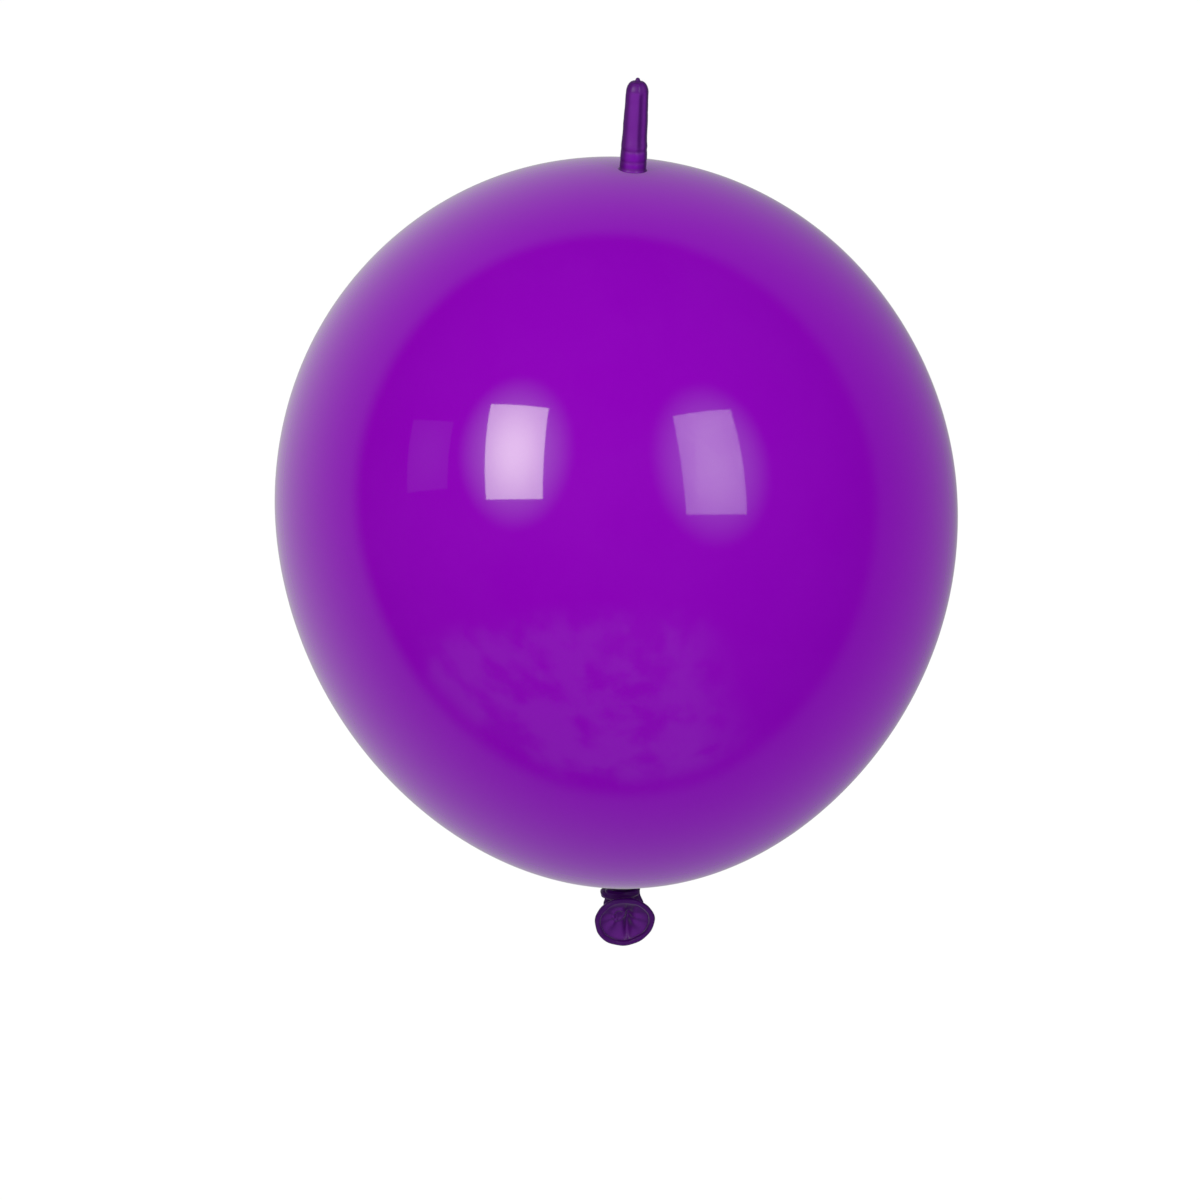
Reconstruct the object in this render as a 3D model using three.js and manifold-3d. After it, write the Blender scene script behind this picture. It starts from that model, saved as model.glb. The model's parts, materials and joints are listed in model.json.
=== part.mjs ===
// A tail balloon (linking balloon) of natural latex, blown up and tied: a thin round envelope, a soft
// hollow tail on its crown, and below it the drawn-in neck, an overhand knot and the flared mouth with
// its rolled lip. Millimetres, +Z up. The origin is the middle of the neck, between body and knot.
// The latex is one moulding. It is divided here where slack rubber meets stretched film, and where
// it bends: each bend is a ball in a cup, so the stretches turn on each other without touching.
import * as THREE from "three";
import { mergeVertices } from "three/addons/utils/BufferGeometryUtils.js";
import Module from "manifold-3d";

const wasm = await Module();
wasm.setup();

// Body: an ellipsoid above its widest ring, and a slightly slimmer one below it.
const BODY_RADIUS = 125;
const CROWN_HEIGHT = 129; // from the widest ring up to the crown
const BELLY_DEPTH = 141.5; // from the widest ring down to the neck end
const BELLY_TAPER = 0.06; // how much the lower half draws in towards the neck
const FILM = 0.05; // stretched skin
const NECK_GAP = 2.5; // from the middle of the neck up to the body's lowest point
const BODY_SEGMENTS = 64;
const BODY_RINGS = 16; // in each half

// Tail: a slack tube that stands on the crown a little off the body's axis.
const TAIL_OFFSET = THREE.MathUtils.degToRad(4.3); // of its root, round the body from the crown
const TAIL_LEAN = THREE.MathUtils.degToRad(4); // of the tail itself
const TAIL_BENDS = [4, 11, 18, 25]; // heights of its bends above the skin
const TAIL_RADII = [4.5, 4.5, 4.4, 4.1]; // of the stretch above each bend
const TAIL_LENGTH = 34.2;
const TAIL_BORE = 2;
const ROOT_HOLE = 5.2; // radius of the hole in the envelope under the tail
const BOSS_DEPTH = 1.2; // of the ring under the tail, below the skin
const BOSS_STEP = 0.3; // height of its shoulder above the skin
const BOSS_NARROWING = 0.8; // height over which the shoulder draws in
const SHOULDER = 30.4; // where the tail starts to close
const TIP_RADIUS = 2.6; // of the flat end
const NUB_RADIUS = 0.9; // of the drop of latex left on the end
const NUB_LENGTH = 1.7;

// Neck, knot and mouth, downwards.
const THROAT_RADIUS = 9; // of the round opening in the envelope's lower end
const THROAT_BORE = 1.2;
const THROAT_WALL = 0.6;
const NECK_RADIUS = 2.6;
const NECK_BENDS = [1.4, -0.6]; // heights of the side bend and the fore bend
const TURN_CENTRE = -4.7; // height of the knot's turn
const TURN_RING = 4.5; // radius of its middle line
const TURN_HALF_WIDTH = 2.8;
const TURN_HALF_HEIGHT = 3;
const STUB_RADIUS = 2.6;
const STUB_LENGTH = 3.9; // between its bend at the knot and its bend at the skirt
const STUB_LEAN = THREE.MathUtils.degToRad(32); // from straight down, forwards
const STUB_BEND = -10.2; // height of its bend at the knot
const MOUTH_TURN = THREE.MathUtils.degToRad(16); // to the right
const MOUTH_DROP = THREE.MathUtils.degToRad(21); // below level
const SKIRT_DEPTH = 7; // from the bend to the middle of the lip
const SKIRT_WALL = 0.8;
const SKIRT_RIM = 0.4; // how far its rim stops short of the middle of the lip
const SKIRT_BELLY = new THREE.Vector2(5, 2.4); // the radius and depth that its flare bends towards
const LIP_RADIUS = 9.5; // of the bead's middle line
const BEAD_RADIUS = 1.2;

const GAP = 0.3; // between two pieces that meet
const CUP_ANGLE = THREE.MathUtils.degToRad(58); // how far a cup wraps round its ball
const WIDE_CUP_ANGLE = THREE.MathUtils.degToRad(40); // for a bend that is already bent at rest
const RING_SEGMENTS = 24;
const ARC_STEPS = 5;

const skin = { color: 0x8603b4, roughness: 0.15, metalness: 0 };
const slackLatex = { color: 0x5c1c82, roughness: 0.35, metalness: 0 };

// Points [radius, height] on a circle about (x, z), from angle a to angle b, measured from straight down.
function arc(x, z, radius, a, b, steps = ARC_STEPS) {
  return Array.from({ length: steps + 1 }, (_, i) => {
    const t = a + ((b - a) * i) / steps;
    return [x + radius * Math.sin(t), z - radius * Math.cos(t)];
  });
}

// A solid of revolution about +Z. The profile runs up its outside, and closes on the axis or on itself.
function turned(profile, segments = RING_SEGMENTS) {
  const points = profile.map(([radius, height]) => new THREE.Vector2(Math.max(radius, 0), height));
  return new THREE.LatheGeometry(points, segments).rotateX(Math.PI / 2);
}

const closed = (profile) => [...profile, profile[0]];

// Where the body's surface is at a share of its height, -1 at the neck end and 1 at the crown.
function bodyPoint(share) {
  const round = BODY_RADIUS * Math.sqrt(Math.max(0, 1 - share * share));
  if (share >= 0) return [round, NECK_GAP + BELLY_DEPTH + CROWN_HEIGHT * share];
  return [round * (1 - BELLY_TAPER * share * share), NECK_GAP + BELLY_DEPTH * (1 + share)];
}

// The share of the lower half's height at which the body has this radius, near its lowest point.
function shareAtRadius(radius) {
  return -Math.sqrt(1 - (radius / (BODY_RADIUS * (1 - BELLY_TAPER))) ** 2);
}

// The same profile moved inwards by a thickness.
function inset(profile, thickness) {
  return profile.map(([radius, height], i) => {
    const [r0, h0] = profile[Math.max(i - 1, 0)];
    const [r1, h1] = profile[Math.min(i + 1, profile.length - 1)];
    const length = Math.hypot(r1 - r0, h1 - h0);
    const onAxis = i === profile.length - 1 && radius === 0;
    if (onAxis) return [0, height - thickness];
    return [radius - (thickness * (h1 - h0)) / length, height + (thickness * (r1 - r0)) / length];
  });
}

function solidOf(geometry) {
  const bare = geometry.clone();
  bare.deleteAttribute("normal");
  bare.deleteAttribute("uv");
  const merged = mergeVertices(bare, 1e-3);
  const mesh = new wasm.Mesh({
    numProp: 3,
    vertProperties: merged.attributes.position.array,
    triVerts: new Uint32Array(merged.index.array),
  });
  return new wasm.Manifold(mesh);
}

function cut(geometry, ...tools) {
  const solid = tools.reduce((rest, tool) => rest.subtract(solidOf(tool)), solidOf(geometry));
  const mesh = solid.getMesh();
  return new THREE.BufferGeometry()
    .setAttribute("position", new THREE.BufferAttribute(mesh.vertProperties, 3))
    .setIndex(new THREE.BufferAttribute(mesh.triVerts, 1));
}

function piece(name, geometry, look) {
  const mesh = new THREE.Mesh(geometry, new THREE.MeshStandardMaterial(look));
  mesh.name = name;
  return mesh;
}

function placed(object, position) {
  object.position.copy(position);
  return object;
}

// The blown-up skin, open where the tail and the throat join it.
function makeEnvelope() {
  const lowest = Math.asin(shareAtRadius(THROAT_RADIUS));
  const angles = [];
  for (let i = 0; i < BODY_RINGS; i++) angles.push(lowest * (1 - i / BODY_RINGS));
  for (let i = 0; i <= BODY_RINGS; i++) angles.push((Math.PI / 2) * (i / BODY_RINGS));
  const outside = angles.map((angle) => bodyPoint(Math.sin(angle)));
  outside[outside.length - 1][0] = 0;
  const inside = inset(outside, FILM).reverse();
  const shell = turned([...outside, ...inside, outside[0]], BODY_SEGMENTS);
  const drill = new THREE.CylinderGeometry(ROOT_HOLE, ROOT_HOLE, 30, RING_SEGMENTS).rotateX(Math.PI / 2);
  drill.rotateY(TAIL_LEAN).translate(...tailRoot().toArray());
  return cut(shell, drill);
}

// The point on the skin where the tail's axis leaves it.
function tailRoot() {
  const [radius, height] = bodyPoint(Math.cos(TAIL_OFFSET));
  return new THREE.Vector3(radius, 0, height);
}

// The thick ring of hardly stretched latex that the tail grows out of.
function makeCrownBoss() {
  const outer = ROOT_HOLE - GAP;
  const cup = TAIL_RADII[0] + GAP;
  return turned(
    closed([
      [TAIL_BORE, -BOSS_DEPTH],
      [outer, -BOSS_DEPTH],
      [outer, BOSS_STEP],
      [TAIL_RADII[0], BOSS_STEP + BOSS_NARROWING],
      ...arc(0, TAIL_BENDS[0], cup, CUP_ANGLE, Math.asin(TAIL_BORE / cup)),
    ]),
  );
}

// One stretch of the hollow tail: a ball at its lower bend, and a cup for the next stretch's ball.
function makeTailStretch(i) {
  const radius = TAIL_RADII[i];
  const cup = TAIL_RADII[i + 1] + GAP;
  const next = TAIL_BENDS[i + 1];
  return turned(
    closed([
      ...arc(0, TAIL_BENDS[i], radius, Math.asin(TAIL_BORE / radius), Math.PI / 2),
      [radius, next - cup * Math.cos(CUP_ANGLE)],
      ...arc(0, next, cup, CUP_ANGLE, Math.asin(TAIL_BORE / cup)),
    ]),
  );
}

// The last stretch, up to the shoulder where the tail starts to close.
function makeTailUpper() {
  const radius = TAIL_RADII[3];
  return turned(
    closed([
      ...arc(0, TAIL_BENDS[3], radius, Math.asin(TAIL_BORE / radius), Math.PI / 2),
      [radius, SHOULDER],
      [TAIL_BORE, SHOULDER],
    ]),
  );
}

// The closed end: rounded shoulders, a small flat and the nub of the last drop.
function makeTailTip() {
  const start = SHOULDER + GAP;
  const flat = TAIL_LENGTH - NUB_LENGTH;
  const corner = Math.min(TAIL_RADII[3] - TIP_RADIUS, flat - start);
  return turned([
    [0, start],
    [TAIL_RADII[3], start],
    ...arc(TAIL_RADII[3] - corner, flat - corner, corner, Math.PI / 2, Math.PI),
    [NUB_RADIUS, flat],
    ...arc(0, TAIL_LENGTH - NUB_RADIUS, NUB_RADIUS, Math.PI / 2, Math.PI),
  ]);
}

// The skin's thick lower end, drawn in from the envelope's opening to the neck.
function makeThroat() {
  const outer = THROAT_RADIUS - GAP;
  const rim = bodyPoint(shareAtRadius(outer))[1];
  const cup = NECK_RADIUS + GAP;
  return turned(
    closed([
      [outer, rim],
      [outer, rim + THROAT_WALL],
      [THROAT_BORE, NECK_BENDS[0] + cup + THROAT_WALL],
      ...arc(0, NECK_BENDS[0], cup, Math.PI - Math.asin(THROAT_BORE / cup), Math.PI - CUP_ANGLE),
    ]),
  );
}

// The pinched neck: a ball at each of its two bends.
function makeNeck() {
  return turned([
    ...arc(0, NECK_BENDS[1], NECK_RADIUS, 0, Math.PI / 2),
    ...arc(0, NECK_BENDS[0], NECK_RADIUS, Math.PI / 2, Math.PI),
  ]);
}

const turnPoint = (angle) => [
  TURN_RING + TURN_HALF_WIDTH * Math.cos(angle),
  TURN_CENTRE + TURN_HALF_HEIGHT * Math.sin(angle),
];

// The knot's turn: the loop of neck that goes round.
function makeKnotTurn() {
  const steps = 16;
  return turned(closed(Array.from({ length: steps }, (_, i) => turnPoint((2 * Math.PI * i) / steps))));
}

// The end of the neck, tucked down through the turn. It has a cup below for the stub's ball.
function makeKnotTuck() {
  const top = NECK_BENDS[1] - NECK_RADIUS - GAP;
  const strand = [250, 230, 205, 180].map((angle) => turnPoint(THREE.MathUtils.degToRad(angle)));
  return turned([
    ...arc(0, STUB_BEND, STUB_RADIUS + GAP, Math.PI, Math.PI - WIDE_CUP_ANGLE),
    ...strand.map(([radius, height]) => [radius - GAP, height - GAP / 2]),
    [strand[3][0] - GAP, top],
    [0, top],
  ]);
}

// The short stretch between the knot and the skirt: a rod with a ball at each end.
function makeMouthStub() {
  const rod = turned([
    ...arc(0, 0, STUB_RADIUS, 0, Math.PI / 2),
    ...arc(0, STUB_LENGTH, STUB_RADIUS, Math.PI / 2, Math.PI),
  ]);
  return rod.rotateX(Math.PI - STUB_LEAN);
}

// The flared mouth below the knot: a shallow funnel, from its cup out to the lip.
function makeMouthSkirt() {
  const cup = STUB_RADIUS + GAP;
  const seat = arc(0, 0, cup, Math.PI, Math.PI - WIDE_CUP_ANGLE);
  const start = new THREE.Vector2(...seat[ARC_STEPS]);
  const rim = new THREE.Vector2(LIP_RADIUS - BEAD_RADIUS - GAP, SKIRT_DEPTH - SKIRT_RIM);
  const flare = new THREE.QuadraticBezierCurve(start, SKIRT_BELLY, rim).getPoints(ARC_STEPS);
  const inside = flare.map(({ x, y }) => [x, y + SKIRT_WALL]).reverse();
  return turned([
    ...seat.slice(0, ARC_STEPS),
    ...flare.map(({ x, y }) => [x, y]),
    ...inside,
    [0, cup + SKIRT_WALL],
  ]);
}

function makeRolledLip() {
  return new THREE.TorusGeometry(LIP_RADIUS, BEAD_RADIUS, 10, 32).translate(0, 0, SKIRT_DEPTH);
}

const tail = placed(new THREE.Group(), tailRoot());
tail.rotation.y = TAIL_LEAN;
tail.add(
  piece("crown_boss", makeCrownBoss(), slackLatex),
  ...["tail_root", "tail_lower", "tail_middle"].map((name, i) => piece(name, makeTailStretch(i), slackLatex)),
  piece("tail_upper", makeTailUpper(), slackLatex),
  piece("tail_tip", makeTailTip(), slackLatex),
);

const stubStart = new THREE.Vector3(0, 0, STUB_BEND);
const stubEnd = new THREE.Vector3(0, -Math.sin(STUB_LEAN), -Math.cos(STUB_LEAN));
stubEnd.multiplyScalar(STUB_LENGTH).add(stubStart);
const mouth = placed(new THREE.Group(), stubEnd);
mouth.rotation.set(Math.PI / 2 + MOUTH_DROP, 0, MOUTH_TURN, "ZXY");
mouth.add(
  piece("mouth_skirt", makeMouthSkirt(), slackLatex),
  piece("rolled_lip", makeRolledLip(), slackLatex),
);

const balloon = new THREE.Group();
balloon.add(
  piece("envelope", makeEnvelope(), skin),
  tail,
  piece("throat", makeThroat(), slackLatex),
  piece("neck", makeNeck(), slackLatex),
  piece("knot_turn", makeKnotTurn(), slackLatex),
  piece("knot_tuck", makeKnotTuck(), slackLatex),
  placed(piece("mouth_stub", makeMouthStub(), slackLatex), stubStart),
  mouth,
);

export default balloon;
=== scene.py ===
"""Looks of the tied tail balloon: glossy stretched skin, slack tail, drawn-in neck, knot and rolled mouth.

Every surface is a loft of rings around a centre line. A bend of the rubber is one loft that crosses one
joint, and neighbouring lofts meet where neither bends. Each point keeps how slack its rubber is, from 0 to
1, and the material is darker where it is slack; that value also carries painted shade in the tail's creases
and
long fold and in the hollow middle of the mouth's face. Where the skin is seen edge on, its colour is
painted:
lighter on the stretched skin as painted rim light, and darker on the slack rubber, partly from the longer
path through it and partly as painted shade.
"""
import json
import math

import bmesh
import bpy
import numpy as np
from mathutils import Matrix, Vector, noise

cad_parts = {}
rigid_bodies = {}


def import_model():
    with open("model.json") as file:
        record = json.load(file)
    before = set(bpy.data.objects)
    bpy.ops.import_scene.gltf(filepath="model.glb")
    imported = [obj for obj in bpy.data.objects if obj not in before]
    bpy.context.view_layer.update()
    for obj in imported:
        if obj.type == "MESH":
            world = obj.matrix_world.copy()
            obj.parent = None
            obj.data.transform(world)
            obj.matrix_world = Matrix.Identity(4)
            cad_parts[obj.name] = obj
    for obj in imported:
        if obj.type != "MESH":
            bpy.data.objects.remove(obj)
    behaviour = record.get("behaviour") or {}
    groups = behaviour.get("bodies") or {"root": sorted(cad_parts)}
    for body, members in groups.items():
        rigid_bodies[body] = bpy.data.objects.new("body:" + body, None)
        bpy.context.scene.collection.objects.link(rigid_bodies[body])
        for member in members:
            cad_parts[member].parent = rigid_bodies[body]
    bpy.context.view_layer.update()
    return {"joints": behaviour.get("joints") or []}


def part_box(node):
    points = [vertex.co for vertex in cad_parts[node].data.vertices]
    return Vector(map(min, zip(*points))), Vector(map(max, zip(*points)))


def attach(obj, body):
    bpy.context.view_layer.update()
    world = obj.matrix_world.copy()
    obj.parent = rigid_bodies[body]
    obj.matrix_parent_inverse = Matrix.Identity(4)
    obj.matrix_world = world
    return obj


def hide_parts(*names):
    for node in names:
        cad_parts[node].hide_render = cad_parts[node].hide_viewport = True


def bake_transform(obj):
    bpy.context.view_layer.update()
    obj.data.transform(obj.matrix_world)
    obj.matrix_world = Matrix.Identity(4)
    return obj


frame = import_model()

MM = 0.001

# Body: two half ellipsoids, the lower one tapered towards the neck.
ENVELOPE_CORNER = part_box("envelope")[1]
BODY_RADIUS = ENVELOPE_CORNER.x
CROWN_HEIGHT = 129 * MM
BELLY_DEPTH = 141.5 * MM
BELLY_TAPER = 0.06
MIDDLE = ENVELOPE_CORNER.z - CROWN_HEIGHT  # height of the widest ring
LEAN = 1.3 * MM  # how far the body bulges to the upper left and the lower right
SWELL = 0.25 * MM  # how far the body departs from its even shape
SWELL_SIZE = 60 * MM  # how wide its swells are
SKIN = 0.3 * MM  # drawn thickness of the stretched skin
BODY_SEGMENTS = 240
BODY_RINGS = 200

# Neck: the skin is gathered into it with pleats.
NECK_TOP = 2.3 * MM  # height at which the body's skin ends
NECK_TOP_RADIUS = 4.4 * MM
NECK_SEAM = 0.4 * MM  # height between the two bends
NECK_RADIUS = 2.75 * MM
NECK_BOTTOM = -3.6 * MM
NECK_BOTTOM_RADIUS = 1.9 * MM
NECK_WALL = 0.8 * MM
NECK_PLEAT = 0.16 * MM
NECK_SEGMENTS = 96
GATHER_PLEATS = 17
GATHER_REACH = 26 * MM  # how far the pleats run out into the skin
GATHER_DEPTH = 0.42 * MM
DRAW_REACH = 9 * MM  # how far from the axis the skin is drawn down
DRAW_DOWN = 0.5 * MM

# Tail: heights along it are measured from the body's skin.
TAIL_BENDS = (4 * MM, 11 * MM, 18 * MM, 25 * MM)
TAIL_SEAMS = (7.5 * MM, 14.5 * MM, 21.5 * MM)
TAIL_SHOULDER = 29.3 * MM  # where the tube starts to close
TAIL_END = 33.1 * MM  # the flat end under the nub
TAIL_OFFSET = math.radians(3.7)  # how far its root stands off the crown, as an angle
TAIL_SHIFT = 1.3 * MM  # how far to the left of its joints it is drawn
TAIL_WALL = 0.6 * MM
TAIL_SEGMENTS = 64
TAIL_SKIRT = 5.3 * MM  # radius at which the body's skin hands over to the tail's root
FOOT = 0.9 * MM  # height of the fillet between the skin and the tube
FOOT_RINGS = 14
HIGH_CREASE = 7.6 * MM
LOW_CREASE = 3.4 * MM
FURROW_ANGLE = math.radians(-62)  # where the long fold down the tail's front is
FURROW_DEPTH = 0.45 * MM
# The nub of the last drop: its width as a share of the tube's, and its height above the flat end.
NUB = (
    (0.34, 0.10 * MM),
    (0.27, 0.16 * MM),
    (0.22, 0.35 * MM),
    (0.2, 0.7 * MM),
    (0.17, 1.05 * MM),
    (0.1, 1.3 * MM),
)
NUB_TIP = 1.4 * MM

# Knot: a flattened strand, wound once round below the neck.
KNOT_START = math.radians(-200)
KNOT_TURN = math.radians(560)
KNOT_TOP = -2.9 * MM
KNOT_BOTTOM = -4.4 * MM
KNOT_RADIUS = 4.1 * MM
KNOT_CORE = 0.9 * MM  # the turn's radius at both of its ends
KNOT_WIDTH = 1.15  # how wide the turn is from side to side, as a share of its depth
KNOT_OFF_CENTRE = -1.0 * MM
STRAND_SIDE = 2.6 * MM
STRAND_UP = 1.5 * MM
STRAND_SWELL = 0.2 * MM
STRAND_SQUARENESS = 0.7
KNOT_STEPS = 190
KNOT_SEGMENTS = 72

# Mouth: a pleated sleeve below the knot, a flared skirt, its folded face and the rolled lip.
LIP_RADIUS = 10.0 * MM
BEAD = 1.05 * MM  # radius of the rolled bead
RIM_RADIUS = LIP_RADIUS - 0.35 * MM
SKIRT_DEPTH = 7 * MM
LIP_RISE = 4.2 * MM  # how far the lip sits nearer to the body than the skirt's axis
LIP_LEFT = 0.2 * MM
MOUTH_TURN = math.radians(4)  # to the right
MOUTH_DROP = math.radians(21)  # below level
MOUTH_SEGMENTS = 120
FACE_RINGS = 44
SKIRT_RINGS = 28
BEAD_RINGS = 160
BEAD_SEGMENTS = 40
SLEEVE_TOP = -4.4 * MM
SLEEVE_TOP_SIDE = 6.0 * MM
SLEEVE_TOP_UP = 2.2 * MM
SLEEVE_HALF_SIDE = 7.2 * MM
SLEEVE_HALF_UP = 2.6 * MM
SLEEVE_WALL = 0.7 * MM
SLEEVE_PLEAT = 0.06
SLEEVE_STEPS = 9

# Latex: its colour by how slack it is, a value that also carries painted shade, and seen edge on, a painted
# rim light on the stretched skin and a darker edge on the slack rubber: colour, where that starts and ends,
# and its share.
LATEX_STOPS = (
    (0.0, (0.138, 0.0005, 0.280)),
    (0.34, (0.106, 0.0012, 0.236)),
    (0.62, (0.092, 0.0080, 0.184)),
    (1.0, (0.036, 0.0008, 0.082)),
)
BLOOM = (0.50, 0.15, 0.60)
# Painted rim light: the stretched skin is painted lighter where it is seen edge on.
STRETCHED_RIM_LIGHT = ((0.158, 0.0004, 0.296), 0.30, 0.66, 1.0)
# The slack rubber is painted darker where it is seen edge on: partly the longer path through the rubber,
# partly painted shade.
SLACK_EDGE_SHADE = ((0.032, 0.0002, 0.068), 0.05, 0.48, 0.92)

# Lamps: direction is from the balloon's middle, and turn is about that direction.
# fade is where a lamp starts to dim, where it stops, and to how much, from its middle to its corners.
LAMP_DISTANCE = 1.5
SOFT_FADE = (0.05, 0.7, 0.6)
LEFT_BOX = dict(
    direction=(-0.527, -0.702, 0.479), width=0.50, height=0.76, radiance=12.5,
    turn=math.radians(11), colour=(1.0, 1.0, 0.74),
)
RIGHT_BOX = dict(
    direction=(0.530, -0.733, 0.427), width=0.54, height=0.82, radiance=7.6,
    turn=math.radians(-8), colour=(1.0, 0.95, 0.86),
)
# A faint window far to the left.
WINDOW = dict(
    direction=(-0.88, -0.35, 0.33), width=0.42, height=0.5, radiance=0.22,
    turn=math.radians(20), colour=(1.0, 1.0, 1.0),
)
# Light that comes back up from the table.
TABLE = dict(
    direction=(0, -0.25, -1), width=2.4, height=2.4, radiance=0.55,
    turn=0, colour=(1.0, 1.0, 1.0), fade=(0.3, 0.7, 0.2),
)
# The glow on the wall around a softbox: its size as shares of the softbox's.
GLOW_WIDTH = 2.2
GLOW_HEIGHT = 1.8
GLOW_FADE = (0.15, 0.5, 0.0)
# A glow is level with its softbox. This scale on its direction only changes how its place is rounded, which
# settles which of the two lamps a reflection meets.
GLOW_SCALE = 1.02
ROOM_FILL = 1.4  # brightness of the room for soft light
BACKDROP = 1.25  # brightness of the room that the camera sees

# Camera.
CAMERA_DISTANCE = 6.0
CAMERA_ELEVATION = math.radians(17)
CAMERA_ROLL = math.radians(1.0)
FRAME_WIDTH = 0.4395  # what the frame takes in at the balloon's distance
AIM_RIGHT = -6.6 * MM  # from the body's middle to the middle of the frame
AIM_UP = -33.6 * MM
SEEN_SHARES = (1, 0.29, 0.96)  # how much of each axis shows from the camera

# Floor, in metres.
FLOOR_DROP = 5  # below the balloon's neck
FLOOR_RADIUS = 80


# ---------------------------------------------------------------- numbers

def smooth(x, low=0.0, high=1.0):
    """0 below low and 1 above high, with a smooth step between them."""
    t = np.clip((np.asarray(x, float) - low) / (high - low), 0, 1)
    return t * t * (3 - 2 * t)


def hump(x, centre, width):
    """A smooth hump, 1 high, that has all but gone at twice its width from the centre."""
    return np.exp(-(((x - centre) / width) ** 2))


def mix(a, b, w):
    return a + (b - a) * w


def unit(v):
    v = np.asarray(v, float)
    return v / np.linalg.norm(v)


def wander(points, scale, seed):
    """Smooth noise in -1..1 at each point, the same in each run."""
    shift = Vector((seed * 7.3, seed * 3.1, seed * 5.7))
    values = [noise.noise(Vector(p) / scale + shift) for p in points.reshape(-1, 3)]
    return np.array(values).reshape(points.shape[:-1])


def hinge(name):
    """Where a joint's axis is."""
    joint = next(j for j in frame["joints"] if j["name"] == name)
    return np.array(joint["pos_m"], float)


# ---------------------------------------------------------------- meshes

def loft(name, rings, slack_and_shade, material, closed=False, start_pole=None, end_pole=None):
    """A skin over rings of points. closed joins the last ring to the first; a pole closes an end."""
    rings = np.asarray(rings, float)
    count, around = rings.shape[:2]
    verts = list(rings.reshape(-1, 3))
    slack_and_shade = list(np.broadcast_to(np.asarray(slack_and_shade, float), (count, around)).reshape(-1))
    faces = []
    for i in range(count if closed else count - 1):
        a, b = i * around, ((i + 1) % count) * around
        for k in range(around):
            n = (k + 1) % around
            faces.append((a + k, a + n, b + n, b + k))
    for pole, ring, flip in ((start_pole, 0, True), (end_pole, count - 1, False)):
        if pole is None:
            continue
        verts.append(np.asarray(pole, float))
        slack_and_shade.append(slack_and_shade[ring * around])
        base, tip = ring * around, len(verts) - 1
        for k in range(around):
            n = (k + 1) % around
            face = (base + n, base + k, tip) if flip else (base + k, base + n, tip)
            faces.append(face)
    mesh = bpy.data.meshes.new(name)
    mesh.from_pydata([tuple(v) for v in verts], [], faces)
    mesh.update()
    turn_outwards(mesh)
    mesh.shade_smooth()
    mesh.set_sharp_from_angle(angle=math.radians(70))
    keep_attribute(mesh, "slack_and_shade", "FLOAT", "value", slack_and_shade)
    keep_attribute(mesh, "rest_place", "FLOAT_VECTOR", "vector", np.array(verts).reshape(-1))
    obj = bpy.data.objects.new(name, mesh)
    bpy.context.scene.collection.objects.link(obj)
    mesh.materials.append(material)
    return obj


def keep_attribute(mesh, name, kind, field, values):
    attribute = mesh.attributes.new(name, kind, "POINT")
    attribute.data.foreach_set(field, np.asarray(values, np.float32))


def turn_outwards(mesh):
    bm = bmesh.new()
    bm.from_mesh(mesh)
    bmesh.ops.recalc_face_normals(bm, faces=bm.faces)
    bm.to_mesh(mesh)
    bm.free()


def ring_angles(count):
    return np.linspace(0, 2 * math.pi, count, endpoint=False)


def shell(outer, inner):
    """Outer rings and then inner rings backwards: the ring order of a wall with two faces."""
    return np.concatenate([outer, inner[::-1]])


def resample(ring, count):
    """The same closed ring with another number of points, which starts at the same point."""
    around = len(ring)
    at = np.arange(count) * around / count
    low = np.floor(at).astype(int)
    share = (at - low)[:, None]
    return mix(ring[low % around], ring[(low + 1) % around], share)


def curve(points, steps):
    """A smooth curve through points, with a number of steps from each to the next."""
    points = [np.asarray(p, float) for p in points]
    padded = [2 * points[0] - points[1], *points, 2 * points[-1] - points[-2]]
    out = []
    for i in range(1, len(padded) - 2):
        p0, p1, p2, p3 = padded[i - 1 : i + 3]
        for t in np.linspace(0, 1, steps, endpoint=False):
            once = (p2 - p0) * t
            twice = (2 * p0 - 5 * p1 + 4 * p2 - p3) * t**2
            thrice = (3 * p1 - p0 - 3 * p2 + p3) * t**3
            out.append(0.5 * (2 * p1 + once + twice + thrice))
    out.append(points[-1])
    return np.array(out)


# ---------------------------------------------------------------- body

def on_body(q):
    """The body's surface for points q of the unit sphere."""
    height = np.where(q[..., 2] >= 0, CROWN_HEIGHT, BELLY_DEPTH) * q[..., 2]
    radius = BODY_RADIUS * np.where(q[..., 2] < 0, 1 - BELLY_TAPER * q[..., 2] ** 2, 1.0)
    return np.stack([radius * q[..., 0], radius * q[..., 1], MIDDLE + height], -1)


def body_rings(polar, angles):
    """Rings of the body whose upper pole is the tail's root and whose lower pole is the neck."""
    t, a = np.meshgrid(polar, angles, indexing="ij")
    tilt = TAIL_OFFSET * (1 - smooth(t, 0, math.pi / 2))
    x, y, z = np.sin(t) * np.cos(a), np.sin(t) * np.sin(a), np.cos(t)
    q = np.stack([x * np.cos(tilt) + z * np.sin(tilt), y, z * np.cos(tilt) - x * np.sin(tilt)], -1)
    return on_body(q)


def pleats(angle):
    """The gathered folds round the neck, about -1 to 1, deeper on some sides than on others."""
    uneven = 0.5 * np.sin(3 * angle + 0.7) + 0.5 * np.sin(5 * angle + 2.1)
    return np.cos(GATHER_PLEATS * angle + 1.3 * uneven) * (0.7 + 0.3 * uneven)


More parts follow.
